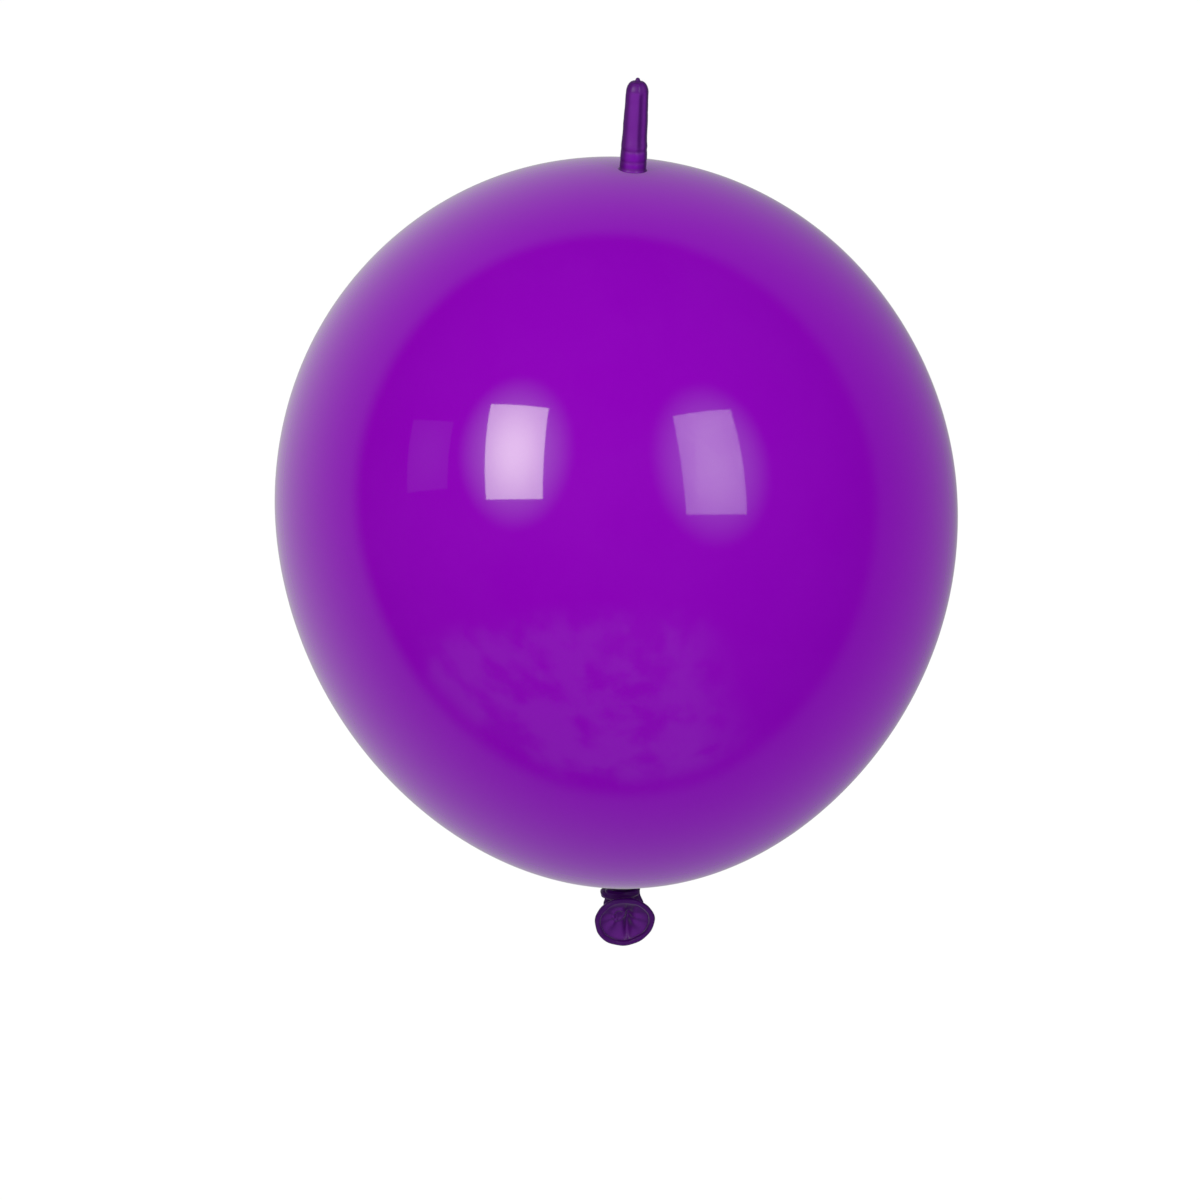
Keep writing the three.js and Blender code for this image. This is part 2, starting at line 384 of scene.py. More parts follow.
def gather(rings):
    """Draws the skin down into the neck, with pleats that fade out into the body."""
    x, y, z = rings[..., 0], rings[..., 1], rings[..., 2]
    radius = np.hypot(x, y)
    below = z < MIDDLE
    near = np.where(below, 1 - smooth(radius, NECK_TOP_RADIUS, GATHER_REACH), 0)
    drawn = np.where(below, 1 - smooth(radius, NECK_TOP_RADIUS, DRAW_REACH), 0)
    depth = GATHER_DEPTH * near**2.5 * smooth(radius, NECK_TOP_RADIUS, NECK_TOP_RADIUS + 3 * MM)
    out = rings.copy()
    out[..., 2] = z + depth * pleats(np.arctan2(y, x)) - drawn * DRAW_DOWN
    return out


def body_skin(material):
    """The stretched skin from the tail's root to the neck. Gives its top and bottom rings."""
    start = math.asin(TAIL_SKIRT / BODY_RADIUS)
    end = math.pi - math.asin(NECK_TOP_RADIUS / (BODY_RADIUS * (1 - BELLY_TAPER)))
    even = np.linspace(0, 1, BODY_RINGS)
    closer_at_ends = mix(even, smooth(even), 0.45)
    polar = mix(start, end, closer_at_ends)
    outer = gather(body_rings(polar, ring_angles(BODY_SEGMENTS)))
    outer[-1, :, 2] = NECK_TOP
    outward = outer - np.array([0, 0, MIDDLE])
    outward /= np.linalg.norm(outward, axis=2, keepdims=True)
    swell = SWELL * wander(outer, SWELL_SIZE, 1) * smooth(np.sin(polar), 0.1, 0.4)[:, None]
    swell = swell - 2 * LEAN * outward[..., 0] * outward[..., 2]
    outer = outer + outward * swell[..., None]
    inner = outer - outward * SKIN
    slack_and_shade = slack_of_body(outer)
    obj = loft("latex_body", shell(outer, inner), shell(slack_and_shade, slack_and_shade), material, closed=True)
    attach(obj, "body")
    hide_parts("envelope", "throat")
    return obj, outer[0], outer[-1]


def slack_of_body(points):
    """The skin is taut but for a small patch round the tail and a wider one round the neck."""
    from_tail = np.linalg.norm(points - TAIL_ROOT, axis=-1)
    from_neck = np.linalg.norm(points - np.array([0, 0, NECK_TOP]), axis=-1)
    near_tail = 0.34 * (1 - smooth(from_tail, 6 * MM, 24 * MM))
    near_neck = 0.75 * (1 - smooth(from_neck, 3 * MM, 30 * MM)) ** 1.6
    return near_tail + near_neck


# ---------------------------------------------------------------- tail

TAIL_UP = unit(hinge("tail_fore_high") - hinge("tail_side_low"))
TAIL_ROOT = hinge("tail_side_low") - TAIL_BENDS[0] * TAIL_UP - np.array([TAIL_SHIFT, 0, 0])
TAIL_SIDE = unit(np.cross([0, 1, 0], TAIL_UP))
TAIL_BACK = np.cross(TAIL_UP, TAIL_SIDE)


def up_tail(height):
    return TAIL_ROOT + height * TAIL_UP


def tail_radius(h):
    """The tail's radius at a height: a fat root with two creases, then a slow taper."""
    root = 4.85 * MM - 0.35 * MM * smooth(h, 5 * MM, 15 * MM)
    creases = 0.13 * MM * hump(h, HIGH_CREASE, 0.7 * MM) + 0.10 * MM * hump(h, LOW_CREASE, 0.6 * MM)
    taper = 0.4 * MM * smooth(h, 14 * MM, 31 * MM)
    return root - creases - taper


def furrow(h, angle):
    """How deep in the long fold down the tail's front a place is, from 0 to 1."""
    off = np.angle(np.exp(1j * (angle - FURROW_ANGLE)))
    return hump(off, 0, 0.26) * smooth(h, 5 * MM, 10 * MM) * (1 - smooth(h, 27 * MM, 31 * MM))


def tail_rings(heights, wall=0.0):
    """The tail's rings at some heights, a little flattened, ribbed and lumpy."""
    h, a = np.meshgrid(np.asarray(heights, float), ring_angles(TAIL_SEGMENTS), indexing="ij")
    flat = 1 - 0.05 * np.sin(a) ** 2 * smooth(h, 8 * MM, 14 * MM)
    ribs = 0.05 * MM * np.cos(9 * a + 1.2 * np.sin(2 * a)) * smooth(h, 0, 2 * MM)
    noise_place = np.stack([np.cos(a) * 2.2 * MM, np.sin(a) * 2.2 * MM, h], -1)
    lumps = 0.10 * MM * wander(noise_place, 3 * MM, 2)
    radius = tail_radius(h) * flat + ribs + lumps - FURROW_DEPTH * furrow(h, a) - wall
    across = np.cos(a)[..., None] * TAIL_SIDE + np.sin(a)[..., None] * TAIL_BACK
    return up_tail(h[..., None]) + radius[..., None] * across


def root_rings(edge, wall=0.0):
    """The tight fillet that leads from the body's skin up into the tube."""
    foot = tail_rings([FOOT], wall)[0]
    rings = []
    for s in np.linspace(0, 1, FOOT_RINGS, endpoint=False):
        angle = s * math.pi / 2
        spread = mix(edge, foot, math.sin(angle))
        level = mix(edge, foot, 1 - math.cos(angle))
        rings.append(spread + TAIL_UP * ((level - spread) @ TAIL_UP)[:, None])
    return np.array(rings)


def tail_slack_and_shade(heights):
    """The slack at each point of the tail's rings: more in the creases and in the long fold, where the
    extra darkness is painted shade.
    """
    h = np.asarray(heights, float)[:, None]
    tube = 0.34 + 0.26 * smooth(h, 6.5 * MM, 10 * MM)
    # Painted shade: darker bands along the two creases.
    creases = 0.30 * hump(h, HIGH_CREASE, 0.8 * MM) + 0.22 * hump(h, LOW_CREASE, 0.7 * MM)
    foot = 0.50 * hump(h, 0.4 * MM, 0.7 * MM)
    # Painted shade: a darker line down the long fold.
    fold = 0.36 * furrow(h, ring_angles(TAIL_SEGMENTS)[None, :])
    return np.clip(tube + creases + foot + fold, 0, 1)


def across_bend(obj):
    """Bakes the placement of a piece of the tail into its mesh."""
    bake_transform(obj)


def tail_root_skin(edge, material):
    """From the body's skin up to the first seam, across the lowest bend."""
    edge = resample(edge, TAIL_SEGMENTS)
    heights = np.linspace(FOOT, TAIL_SEAMS[0], 30)
    outer = np.concatenate([root_rings(edge), tail_rings(heights)])
    inner = np.concatenate([root_rings(edge - SKIN * TAIL_UP, TAIL_WALL), tail_rings(heights, TAIL_WALL)])
    up_foot = smooth(np.linspace(0, 1, FOOT_RINGS, endpoint=False))[:, None]
    slack_and_shade = np.concatenate([mix(0.30, tail_slack_and_shade([FOOT]), up_foot), tail_slack_and_shade(heights)])
    obj = loft("latex_tail_root", shell(outer, inner), shell(slack_and_shade, slack_and_shade), material, closed=True)
    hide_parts("crown_boss", "tail_root")
    across_bend(obj)


def tail_stretch(number, above, material):
    """One stretch of the tube between two seams, across one of the bends."""
    heights = np.linspace(TAIL_SEAMS[number - 1], TAIL_SEAMS[number], 30)
    outer, inner = tail_rings(heights), tail_rings(heights, TAIL_WALL)
    slack_and_shade = tail_slack_and_shade(heights)
    obj = loft("latex_" + above, shell(outer, inner), shell(slack_and_shade, slack_and_shade), material, closed=True)
    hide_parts(above)
    across_bend(obj)


def tail_end_skin(material):
    """The last stretch, its rounded shoulders and the nub of the last drop."""
    heights = np.linspace(TAIL_SEAMS[2], TAIL_SHOULDER, 34)
    full = tail_rings([TAIL_SHOULDER])[0] - up_tail(TAIL_SHOULDER)
    end = []
    for s in np.linspace(0, 1, 14)[1:]:
        angle = s * math.pi / 2
        shrink = mix(1.0, 0.42, (1 - math.cos(angle)) ** 0.85)
        rise = (TAIL_END - TAIL_SHOULDER) * math.sin(angle)
        end.append(up_tail(TAIL_SHOULDER + rise) + full * shrink)
    for shrink, rise in NUB:
        end.append(up_tail(TAIL_END + rise) + full * shrink)
    end_slack = np.linspace(0.66, 1.0, len(end))[:, None] ** 0.6
    end_slack = np.repeat(end_slack, TAIL_SEGMENTS, axis=1)
    rings = np.concatenate([tail_rings(heights[::-1], TAIL_WALL), tail_rings(heights), end])
    slack_and_shade = np.concatenate([tail_slack_and_shade(heights[::-1]), tail_slack_and_shade(heights), end_slack])
    inner_end = up_tail(TAIL_SHOULDER + 0.5 * MM)
    tip = up_tail(TAIL_END + NUB_TIP)
    obj = loft("latex_tail_end", rings, slack_and_shade, material, start_pole=inner_end, end_pole=tip)
    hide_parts("tail_upper", "tail_tip")
    across_bend(obj)


# ---------------------------------------------------------------- neck and knot

def neck_rings(heights, radii, wall=0.0):
    z, a = np.meshgrid(np.asarray(heights, float), ring_angles(NECK_SEGMENTS), indexing="ij")
    radius = radii[:, None] + NECK_PLEAT * pleats(a) - wall
    return np.stack([radius * np.cos(a), radius * np.sin(a), z], -1)


def neck_upper_skin(edge, material):
    """From the body's skin down into the neck, across the bend to the side."""
    heights = np.linspace(NECK_TOP, NECK_SEAM, 14)
    share = (NECK_TOP - heights) / (NECK_TOP - NECK_SEAM)
    radii = mix(NECK_TOP_RADIUS, NECK_RADIUS, 1 - (1 - share) ** 2)
    from_edge = smooth(share, 0, 0.5)[:, None, None]
    outer = mix(resample(edge, NECK_SEGMENTS), neck_rings(heights, radii), from_edge)
    outer[..., 2] = heights[:, None]
    inner = neck_rings(heights, radii, NECK_WALL)
    obj = loft("latex_neck_upper", shell(outer, inner), 0.85, material, closed=True)
    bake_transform(obj)


def neck_lower_skin(material):
    """The pinched neck down into the knot, across the bend forwards."""
    heights = np.linspace(NECK_SEAM, NECK_BOTTOM, 22)
    radii = mix(NECK_RADIUS, NECK_BOTTOM_RADIUS, smooth((NECK_SEAM - heights) / (NECK_SEAM - NECK_BOTTOM)))
    outer, inner = neck_rings(heights, radii), neck_rings(heights, radii, NECK_WALL)
    obj = loft("latex_neck_lower", shell(outer, inner), 0.9, material, closed=True)
    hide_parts("neck")
    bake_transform(obj)


def strand(path, half_side, half_up, swirl):
    """Rings of a flattened strand along a level path. swirl is how much its surface stands out."""
    tangent = np.gradient(path, axis=0)
    tangent /= np.linalg.norm(tangent, axis=1, keepdims=True)
    a = ring_angles(KNOT_SEGMENTS)
    c, s = np.cos(a), np.sin(a)
    c = np.sign(c) * np.abs(c) ** STRAND_SQUARENESS
    s = np.sign(s) * np.abs(s) ** STRAND_SQUARENESS
    rings = []
    for i, centre in enumerate(path):
        side = unit(np.cross(tangent[i], [0.0, 0.0, 1.0]))
        up = np.cross(side, tangent[i])
        grow = 1 + swirl(i, a)
        sideways = (half_side[i] * c * grow)[:, None] * side
        upwards = (half_up[i] * s * grow)[:, None] * up
        rings.append(centre + sideways + upwards)
    return np.array(rings)


def knot_skin(material):
    """The overhand knot: a strand that winds in from the neck, once round, and out again below."""
    s = np.linspace(0, 1, KNOT_STEPS)
    turn = KNOT_START + s * KNOT_TURN
    outwards = smooth(s, 0, 0.14) * (1 - smooth(s, 0.86, 1))
    radius = mix(KNOT_CORE, KNOT_RADIUS, outwards)
    across = mix(1.0, KNOT_WIDTH, outwards) * radius * np.cos(turn) + KNOT_OFF_CENTRE * outwards
    path = np.stack([across, radius * np.sin(turn), mix(KNOT_TOP, KNOT_BOTTOM, s)], -1)
    fat = smooth(s, 0, 0.1) * (1 - smooth(s, 0.9, 1))
    half_side = mix(1.5 * MM, STRAND_SIDE, fat)
    half_up = mix(1.0 * MM, STRAND_UP, fat) + STRAND_SWELL * hump(s, 0.5, 0.2)

    def swirl(i, a):
        return 0.03 * np.cos(9 * a + 26 * s[i]) + 0.02 * np.cos(5 * a - 40 * s[i])

    rings = strand(path, half_side, half_up, swirl)
    obj = loft("latex_knot", rings, 0.96, material, start_pole=path[0], end_pole=path[-1])
    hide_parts("knot_turn", "knot_tuck")
    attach(obj, "knot")


# ---------------------------------------------------------------- mouth

STUB_START = hinge("mouth_nod")
STUB_END = hinge("mouth_turn")
STUB_WAY = unit(STUB_END - STUB_START)
SLEEVE_SEAM = STUB_START + 2.2 * MM * STUB_WAY
SLEEVE_SIDE = np.array([1.0, 0.0, 0.0])
MOUTH_WAY = np.array([
    math.sin(MOUTH_TURN) * math.cos(MOUTH_DROP),
    -math.cos(MOUTH_TURN) * math.cos(MOUTH_DROP),
    -math.sin(MOUTH_DROP),
])
MOUTH_SIDE = np.array([math.cos(MOUTH_TURN), math.sin(MOUTH_TURN), 0.0])
MOUTH_UP = np.cross(MOUTH_WAY, MOUTH_SIDE)
LIP_CENTRE = STUB_END + SKIRT_DEPTH * MOUTH_WAY + LIP_RISE * MOUTH_UP - LIP_LEFT * MOUTH_SIDE


def sleeve_ring(centre, way, side, half_side, half_up, pleat):
    """One ring of the pleated sleeve: across way, half_side wide and half_up thick."""
    a = ring_angles(MOUTH_SEGMENTS)
    up = unit(np.cross(way, side))
    fold = 1 + pleat * (0.6 * np.cos(11 * a + 0.8 * np.sin(3 * a)) + 0.4 * np.cos(7 * a + 1.1))
    sideways = (half_side * np.cos(a) * fold)[:, None] * side
    upwards = (half_up * np.sin(a) * fold)[:, None] * up
    return centre + sideways + upwards


def sleeve_skin(material):
    """The slack neck below the knot, fanned out, across the bend at the knot. Gives its inner last ring."""
    below_knot = (0, 0, SLEEVE_TOP - 3 * MM)
    centres = curve([(0, 0, SLEEVE_TOP), below_knot, STUB_START, SLEEVE_SEAM], SLEEVE_STEPS)
    ways = np.gradient(centres, axis=0)
    ways[-1] = STUB_WAY
    s = np.linspace(0, 1, len(centres))
    half_side = mix(SLEEVE_TOP_SIDE, SLEEVE_HALF_SIDE, smooth(s, 0.0, 0.45))
    half_up = mix(SLEEVE_TOP_UP, SLEEVE_HALF_UP, smooth(s, 0.3, 1))
    walls = []
    for wall in (0, SLEEVE_WALL):
        rings = [
            sleeve_ring(centre, unit(way), SLEEVE_SIDE, side - wall, up - wall, SLEEVE_PLEAT)
            for centre, way, side, up in zip(centres, ways, half_side, half_up)
        ]
        walls.append(np.array(rings))
    obj = loft("latex_mouth_sleeve", shell(*walls), 1.0, material, closed=True)
    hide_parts("mouth_stub")
    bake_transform(obj)
    return walls[1][-1]


def skirt_skin(inner_edge, material):
    """The flared mouth, across the bend at the skirt: its outside, its rim and its folded face."""
    rings = [inner_edge]
    for s in np.linspace(0, 1, SKIRT_RINGS):
        centre = mix(mix(SLEEVE_SEAM, STUB_END, s), mix(STUB_END, LIP_CENTRE, s), s)
        way = unit(mix(STUB_WAY, MOUTH_WAY, smooth(s, 0, 0.8)))
        side = unit(mix(SLEEVE_SIDE, MOUTH_SIDE, s))
        half_side = mix(SLEEVE_HALF_SIDE, RIM_RADIUS, s**1.4)
        half_up = mix(SLEEVE_HALF_UP, RIM_RADIUS, s**1.2)
        rings.append(sleeve_ring(centre, way, side, half_side, half_up, SLEEVE_PLEAT * (1 - s)))
    shares = np.linspace(0.995, 0.02, FACE_RINGS)
    rings.extend(face_points(share, ring_angles(MOUTH_SEGMENTS)) for share in shares)
    middle = face_points(0.0, np.array([0.0]))[0]
    slack_and_shade = np.concatenate([np.full(1 + SKIRT_RINGS, 0.95), face_slack_and_shade(shares)])
    obj = loft(
        "latex_mouth_skirt", rings, slack_and_shade[:, None], material, start_pole=SLEEVE_SEAM, end_pole=middle
    )
    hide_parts("mouth_skirt")
    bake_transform(obj)


def face_points(share, angle):
    """Points of the mouth's folded face, at a share of its radius from the middle."""
    fade = (1 - share) ** 1.5
    x = RIM_RADIUS * share * np.cos(angle) - 1.7 * MM * fade
    y = RIM_RADIUS * share * np.sin(angle) + 1.3 * MM * fade
    depth = face_hollow(share, angle) + face_folds(share, x, y)
    return LIP_CENTRE + x[:, None] * MOUTH_SIDE + y[:, None] * MOUTH_UP + depth[:, None] * MOUTH_WAY


def face_hollow(share, angle):
    """The face sinks in towards its middle, with fine pleats."""
    hollow = -3.4 * MM * (1 - share**2.2)
    fine = 0.22 * MM * np.cos(8 * angle + 1.5 * np.sin(2 * angle))
    return hollow + fine * math.sin(math.pi * share) ** 0.8 * (0.4 + 0.6 * share)


def face_folds(share, x, y):
    """Two lobes with a deep crease between them, and a puckered ring in the left lobe."""
    left = 1.3 * MM * hump(x, -4.2 * MM, 3 * MM) * hump(y, -1.5 * MM, 4.5 * MM)
    right = 1.0 * MM * hump(x, 4.4 * MM, 2.6 * MM) * hump(y, -1 * MM, 4.0 * MM)
    from_pucker = np.hypot(x + 1.9 * MM, y - 1.4 * MM)
    pucker = 0.6 * MM * hump(from_pucker, 2.1 * MM, 0.7 * MM)
    crease_line = 1.6 * MM + 0.4 * MM * np.sin(y / (3.2 * MM))
    crease = 1.7 * MM * hump(x, crease_line, 1.2 * MM)
    return (left + right + pucker) * (1 - share**4) - crease * (1 - share**5)


def face_slack_and_shade(shares):
    """The face is paler than the rim around it, and darker in its hollow middle, which is painted shade."""
    # The last term is painted shade in the face's hollow middle.
    return 0.76 + 0.24 * smooth(shares, 0.86, 0.98) + 0.2 * (1 - smooth(shares, 0.02, 0.2))


def lip_skin(material):
    """The rolled bead: a ring with the edges of its roll showing as fine grooves."""
    b = ring_angles(BEAD_SEGMENTS)
    rings = []
    for angle in ring_angles(BEAD_RINGS):
        wobble = 0.12 * MM * math.sin(3 * angle + 0.6) + 0.05 * MM * math.sin(7 * angle)
        thick = BEAD * (1 + 0.06 * math.sin(5 * angle + 1.0) + 0.04 * math.sin(11 * angle))
        roll = thick * (1 + 0.035 * np.cos(6 * b + 2 * angle))
        out = math.cos(angle) * MOUTH_SIDE + math.sin(angle) * MOUTH_UP
        radial = LIP_RADIUS + wobble + roll * np.cos(b)
        lift = roll * np.sin(b) + 0.12 * MM * math.sin(2 * angle + 0.4)
        rings.append(LIP_CENTRE + radial[:, None] * out + lift[:, None] * MOUTH_WAY)
    obj = loft("latex_rolled_lip", rings, 1.0, material, closed=True)
    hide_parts("rolled_lip")
    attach(obj, "mouth")


# ---------------------------------------------------------------- shader nodes

def link(tree, a, b):
    tree.links.new(a, b)


def map_range(tree, value, low, high, to_low, to_high, smoothly=False):
    node = tree.nodes.new("ShaderNodeMapRange")
    node.interpolation_type = "SMOOTHSTEP" if smoothly else "LINEAR"
    node.inputs["From Min"].default_value = low
    node.inputs["From Max"].default_value = high
    node.inputs["To Min"].default_value = to_low
    node.inputs["To Max"].default_value = to_high
    link(tree, value, node.inputs["Value"])
    return node.outputs["Result"]


def combine(tree, operation, *values):
    """All values added or multiplied together."""
    total = values[0]
    for value in values[1:]:
        node = tree.nodes.new("ShaderNodeMath")
        node.operation = operation
        link(tree, total, node.inputs[0])
        link(tree, value, node.inputs[1])
        total = node.outputs["Value"]
    return total


def along(tree, direction, axis):
    """How far a direction goes along an axis."""
    node = tree.nodes.new("ShaderNodeVectorMath")
    node.operation = "DOT_PRODUCT"
    node.inputs[1].default_value = axis
    link(tree, direction, node.inputs[0])
    return node.outputs["Value"]


def noise_texture(tree, place, **settings):
    """Noise at a place, or by default where the surface is. settings are its inputs."""
    node = tree.nodes.new("ShaderNodeTexNoise")
    for name, value in settings.items():
        node.inputs[name].default_value = value
    if place is not None:
        link(tree, place, node.inputs["Vector"])
    return node.outputs["Fac"]


def attribute(tree, name):
    node = tree.nodes.new("ShaderNodeAttribute")
    node.attribute_name = name
    return node


def towards(tree, share, colour, other):
    """A colour moved towards another one by a share."""
    node = tree.nodes.new("ShaderNodeMix")
    node.data_type = "RGBA"
    link(tree, share, node.inputs["Factor"])
    link(tree, colour, node.inputs["A"])
    node.inputs["B"].default_value = (*other, 1)
    return node.outputs["Result"]


# ---------------------------------------------------------------- materials

def latex(name, roughness, coat, coat_roughness, specular, edge):
    """Purple latex: darker where it is slack and where shade is painted, with a colour painted where it is
    seen edge on.
    """
    material = bpy.data.materials.new(name)
    material.use_nodes = True
    tree = material.node_tree
    shader = tree.nodes["Principled BSDF"]
    place = attribute(tree, "rest_place").outputs["Vector"]
    cloud = noise_texture(tree, place, Scale=22, Detail=5, Roughness=0.6)
    rough = map_range(tree, cloud, 0, 1, roughness - 0.04, roughness + 0.06)
    link(tree, latex_colour(tree, cloud, edge), shader.inputs["Base Color"])
    link(tree, rough, shader.inputs["Roughness"])
    link(tree, latex_grain(tree, place), shader.inputs["Normal"])
    shader.inputs["IOR"].default_value = 1.5
    shader.inputs["Specular IOR Level"].default_value = specular
    shader.inputs["Coat Weight"].default_value = coat
    shader.inputs["Coat Roughness"].default_value = coat_roughness
    shader.inputs["Coat IOR"].default_value = 1.5
    return material


def latex_colour(tree, cloud, edge):
    """The colour by slack and painted shade, with a faint cloudy bloom, moved towards the colour painted
    where the surface is seen edge on.
    """
    painted_edge_colour, edge_start, edge_end, edge_share = edge
    bloom = map_range(tree, cloud, 0.35, 0.75, 0, 0.006)
    colour = towards(tree, bloom, slack_and_shade_ramp(tree), BLOOM)
    facing = tree.nodes.new("ShaderNodeLayerWeight")
    facing.inputs["Blend"].default_value = 0.5
    # Painted edge colour: on stretched skin a painted rim light, on slack rubber a darker edge that is
    # partly the longer path through it and partly painted shade.
    painted_edge = map_range(tree, facing.outputs["Facing"], edge_start, edge_end, 0, edge_share)
    return towards(tree, painted_edge, colour, painted_edge_colour)


def slack_and_shade_ramp(tree):
    ramp = tree.nodes.new("ShaderNodeValToRGB")
    elements = ramp.color_ramp.elements
    first, *between, last = LATEX_STOPS
    for element, (position, colour) in zip(elements, (first, last)):
        element.position = position
        element.color = (*colour, 1)
    for position, colour in between:
        elements.new(position).color = (*colour, 1)
    # Besides slack, this value holds painted shade in the tail's creases and fold and in the hollow middle
    # of the mouth's face.
    link(tree, attribute(tree, "slack_and_shade").outputs["Fac"], ramp.inputs["Fac"])
    return ramp.outputs["Color"]


def latex_grain(tree, place):
    """The barely seen grain of the rubber."""
    bump = tree.nodes.new("ShaderNodeBump")
    bump.inputs["Strength"].default_value = 0.05
    bump.inputs["Distance"].default_value = 0.05 * MM
    link(tree, noise_texture(tree, place, Scale=1400, Detail=3), bump.inputs["Height"])
    return bump.outputs["Normal"]


def pale_floor():
    material = bpy.data.materials.new("pale_floor")
    material.use_nodes = True
    tree = material.node_tree
    shader = tree.nodes["Principled BSDF"]
    shader.inputs["Roughness"].default_value = 0.9
    shade = map_range(tree, noise_texture(tree, None, Scale=6), 0, 1, 0.92, 0.95)
    tone = tree.nodes.new("ShaderNodeCombineColor")
    for channel in ("Red", "Green", "Blue"):
        link(tree, shade, tone.inputs[channel])
    link(tree, tone.outputs["Color"], shader.inputs["Base Color"])
    return material


# ---------------------------------------------------------------- studio

def build_floor():
    bpy.ops.mesh.primitive_circle_add(
        vertices=96, radius=FLOOR_RADIUS, fill_type="NGON", location=(0, 0, -FLOOR_DROP)
    )
    floor = bpy.context.object
    floor.name = "floor"
    floor.data.materials.append(pale_floor())
    floor.visible_glossy = False


def build_lamp(name, direction, width, height, radiance, turn, colour, fade=SOFT_FADE):
    """A soft lamp that faces the balloon."""
    fade_start, fade_end, dimmest = fade
    data = bpy.data.lights.new(name, "AREA")
    data.shape = "RECTANGLE"
    data.size = width
    data.size_y = height
    data.energy = radiance * math.pi * width * height
    data.color = colour
    data.use_nodes = True
    tree = data.node_tree
    off_middle = tree.nodes.new("ShaderNodeVectorMath")
    off_middle.operation = "DISTANCE"
    off_middle.inputs[1].default_value = (0.5, 0.5, 0)
    link(tree, tree.nodes.new("ShaderNodeNewGeometry").outputs["Parametric"], off_middle.inputs[0])
    dim = map_range(tree, off_middle.outputs["Value"], fade_start, fade_end, 1, dimmest, True)
    link(tree, dim, tree.nodes["Emission"].inputs["Strength"])
    lamp = bpy.data.objects.new(name, data)
    bpy.context.scene.collection.objects.link(lamp)
    way = Vector(direction).normalized()
    lamp.location = Vector((0, 0, MIDDLE)) + way * LAMP_DISTANCE
    facing = way.to_track_quat("Z", "Y").to_matrix()
    lamp.rotation_euler = (facing @ Matrix.Rotation(turn, 3, "Z")).to_euler()
    lamp.visible_camera = False
    return lamp


def build_glow(name, box, share):
    """The wall around a softbox, which glows with a share of its brightness."""
    glow = dict(box)
    glow["direction"] = np.array(box["direction"]) * GLOW_SCALE
    glow["width"] *= GLOW_WIDTH
    glow["height"] *= GLOW_HEIGHT
    glow["radiance"] *= share
    build_lamp(name, **glow, fade=GLOW_FADE)


def build_world():
    """A white room. The camera sees it plain, and gloss sees its walls, brightest at the back left."""
    world = bpy.data.worlds.new("studio")
    bpy.context.scene.world = world
    world.use_nodes = True
    world.cycles.sampling_method = "NONE"
    tree = world.node_tree
    nodes = tree.nodes
    nodes.clear()
    output = nodes.new("ShaderNodeOutputWorld")
    seen = nodes.new("ShaderNodeLightPath")
    direction = nodes.new("ShaderNodeTexCoord").outputs["Generated"]

    glossy = nodes.new("ShaderNodeBackground")
    link(tree, room_seen_in_gloss(tree, direction), glossy.inputs["Strength"])
    fill = nodes.new("ShaderNodeBackground")
    fill.inputs["Strength"].default_value = ROOM_FILL
    white = nodes.new("ShaderNodeBackground")
    white.inputs["Strength"].default_value = BACKDROP
    by_gloss = nodes.new("ShaderNodeMixShader")
    link(tree, seen.outputs["Is Glossy Ray"], by_gloss.inputs["Fac"])
    link(tree, fill.outputs["Background"], by_gloss.inputs[1])
    link(tree, glossy.outputs["Background"], by_gloss.inputs[2])
    by_camera = nodes.new("ShaderNodeMixShader")
    link(tree, seen.outputs["Is Camera Ray"], by_camera.inputs["Fac"])
    link(tree, by_gloss.outputs["Shader"], by_camera.inputs[1])
    link(tree, white.outputs["Background"], by_camera.inputs[2])
    link(tree, by_camera.outputs["Shader"], output.inputs["Surface"])


def room_seen_in_gloss(tree, direction):
    """The back half of the room is lit, the front half is dark but for a dim patch of floor."""
    ahead = (0, math.cos(CAMERA_ELEVATION), -math.sin(CAMERA_ELEVATION))
    behind = along(tree, direction, ahead)
    lit = map_range(tree, behind, 0.06, 0.22, 0, 1, True)
    depth = map_range(tree, behind, 0, 1, 0.10, 0.66)
    wall = combine(tree, "MULTIPLY", lit, depth, left_bias(tree, direction))
    return combine(tree, "ADD", wall, floor_patch(tree, direction, behind))


def left_bias(tree, direction):
    """The walls are brighter on the left and a little brighter high up."""
    seen_flat = tree.nodes.new("ShaderNodeVectorMath")
    seen_flat.operation = "MULTIPLY"
    seen_flat.inputs[1].default_value = SEEN_SHARES
    link(tree, direction, seen_flat.inputs[0])
    spread = tree.nodes.new("ShaderNodeVectorMath")
    spread.operation = "NORMALIZE"
    link(tree, seen_flat.outputs["Vector"], spread.inputs[0])
    return map_range(tree, along(tree, spread.outputs["Vector"], (-0.44, 0, 0.14)), -1, 1, 0, 2)


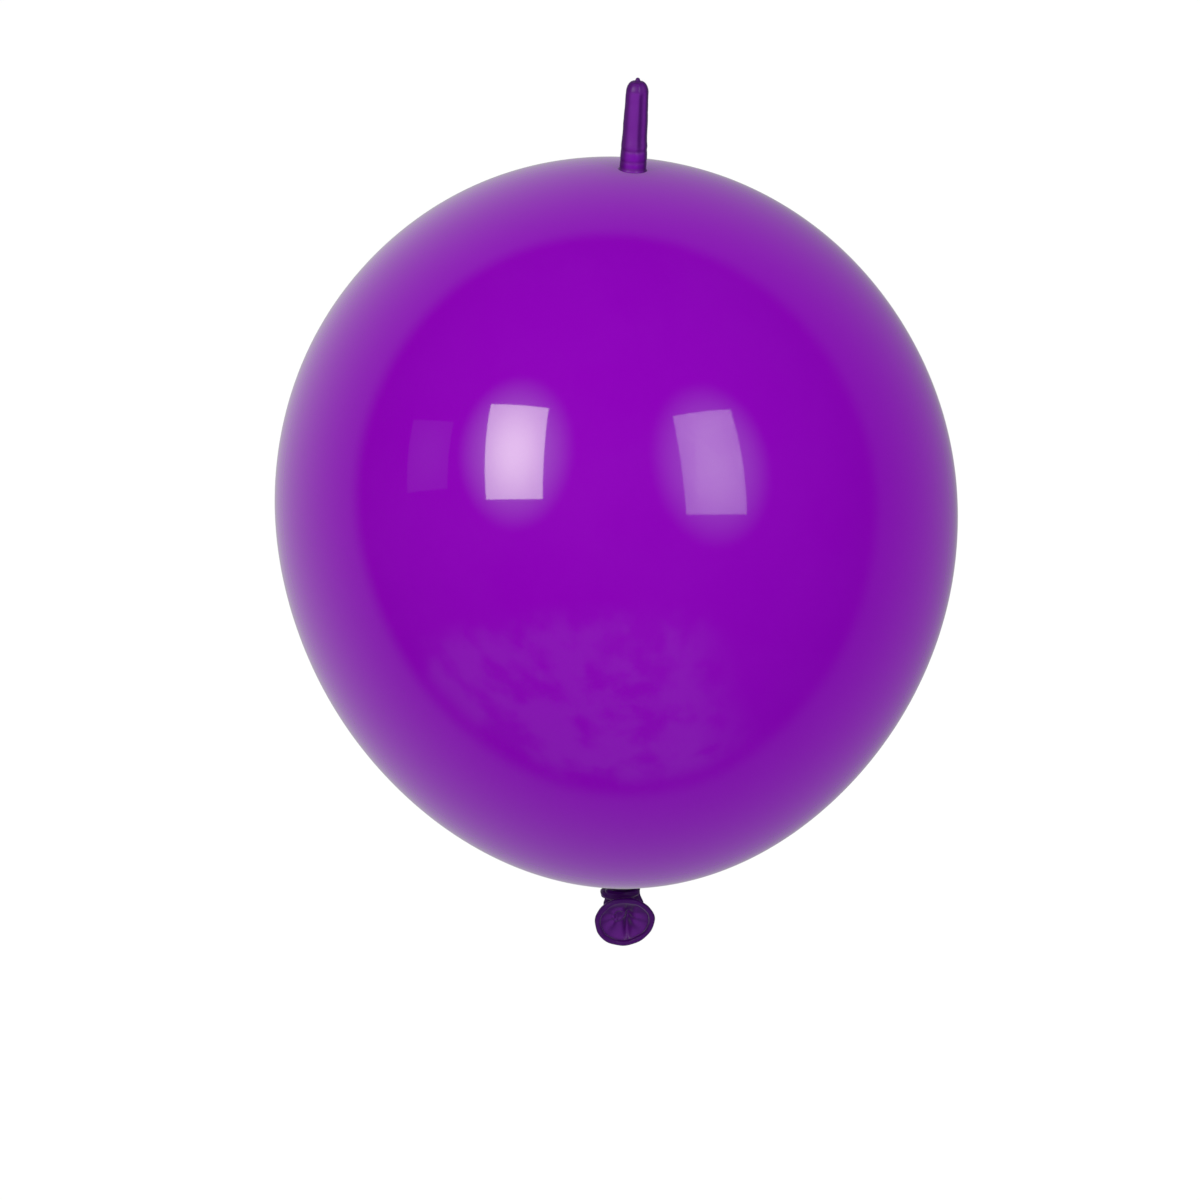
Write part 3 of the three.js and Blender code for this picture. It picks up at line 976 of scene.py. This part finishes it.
def floor_patch(tree, direction, behind):
    """A dim mottled patch, low in front of the balloon and to the left."""
    up = (0, math.sin(CAMERA_ELEVATION), math.cos(CAMERA_ELEVATION))
    mottle = noise_texture(tree, direction, Scale=5, Detail=4)
    light = map_range(tree, mottle, 0.38, 0.60, 0.05, 0.24, True)
    low = map_range(tree, along(tree, direction, up), -0.66, -0.50, 1, 0, True)
    left = map_range(tree, along(tree, direction, (1, 0, 0)), 0.3, 0.6, 1, 0, True)
    in_front = map_range(tree, behind, -0.05, 0.15, 1, 0, True)
    return combine(tree, "MULTIPLY", light, low, left, in_front)


def build_camera():
    data = bpy.data.cameras.new("camera")
    camera = bpy.data.objects.new("camera", data)
    bpy.context.scene.collection.objects.link(camera)
    back = Vector((0, -math.cos(CAMERA_ELEVATION), math.sin(CAMERA_ELEVATION)))
    right = Vector((1, 0, 0))
    up = back.cross(right)
    aim = Vector((0, 0, MIDDLE)) + right * AIM_RIGHT + up * AIM_UP
    turn = Matrix((right, up, back)).transposed() @ Matrix.Rotation(-CAMERA_ROLL, 3, "Z")
    camera.matrix_world = Matrix.Translation(aim + back * CAMERA_DISTANCE) @ turn.to_4x4()
    data.sensor_width = 36
    data.lens = data.sensor_width * CAMERA_DISTANCE / FRAME_WIDTH
    data.clip_start = 0.01
    bpy.context.scene.camera = camera


# ---------------------------------------------------------------- the balloon in its studio

build_camera()
stretched = latex("stretched_latex", 0.22, 1.0, 0.035, 0.0, STRETCHED_RIM_LIGHT)
slack_rubber = latex("slack_latex", 0.33, 0.0, 0.3, 0.14, SLACK_EDGE_SHADE)

body, tail_edge, neck_edge = body_skin(stretched)
tail_root_skin(tail_edge, slack_rubber)
tail_stretch(1, "tail_lower", slack_rubber)
tail_stretch(2, "tail_middle", slack_rubber)
tail_end_skin(slack_rubber)
neck_upper_skin(neck_edge, slack_rubber)
neck_lower_skin(slack_rubber)
knot_skin(slack_rubber)
sleeve_edge = sleeve_skin(slack_rubber)
skirt_skin(sleeve_edge, slack_rubber)
lip_skin(slack_rubber)

# The skin mirrors the studio but not its own tail and knot.
for piece in bpy.context.scene.objects:
    if piece.name.startswith("latex_") and piece is not body:
        piece.visible_glossy = False

build_floor()
build_lamp("softbox_left", **LEFT_BOX)
build_lamp("softbox_right", **RIGHT_BOX)
build_lamp("window", **WINDOW)
build_glow("glow_left", LEFT_BOX, 0.13)
build_glow("glow_right", RIGHT_BOX, 0.15)
build_lamp("table", **TABLE).visible_glossy = False
build_world()
bpy.context.scene.view_settings.view_transform = "Standard"
